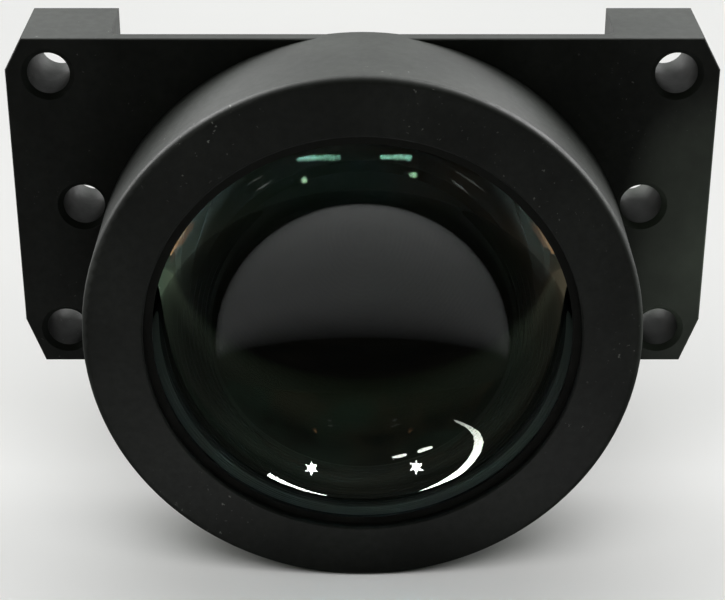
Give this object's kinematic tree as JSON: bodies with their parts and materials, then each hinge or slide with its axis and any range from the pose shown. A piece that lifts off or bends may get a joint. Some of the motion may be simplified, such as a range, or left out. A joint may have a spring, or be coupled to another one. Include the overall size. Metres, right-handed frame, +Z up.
{
  "type": "condenser lens",
  "caption": "Condenser lens in a black flange mounting: rectangular flange with deep side blocks, thick round barrel, strongly domed front glass and a screwed-in rear cell.",
  "frame": {"origin": "middle of the four corner screw holes, on the rear mounting face of the side blocks", "axes": "+X along the flange's width, +Y out of the mounting face to the rear along the optical axis, +Z up; the front of the lens faces -Y"},
  "size_m": [0.08, 0.033, 0.0627],
  "materials": {
    "black_anodised": "satin black anodised, fine blasted grain",
    "dull_black": "dull black anodised, turned",
    "black_rubber": "smooth black rubber",
    "coated_glass": "polished glass with a faint blue-green coating",
    "blackened_steel": "blackened steel"
  },
  "bodies": {
    "root": {"housing": "black_anodised", "front_gasket": "black_rubber", "front_lens": "coated_glass", "aperture_stop": "dull_black", "rear_cell": "black_anodised", "rear_lens": "coated_glass", "rear_lens_o_ring": "black_rubber", "rear_lens_ring": "dull_black", "lock_screw": "blackened_steel"}
  },
  "joints": []
}
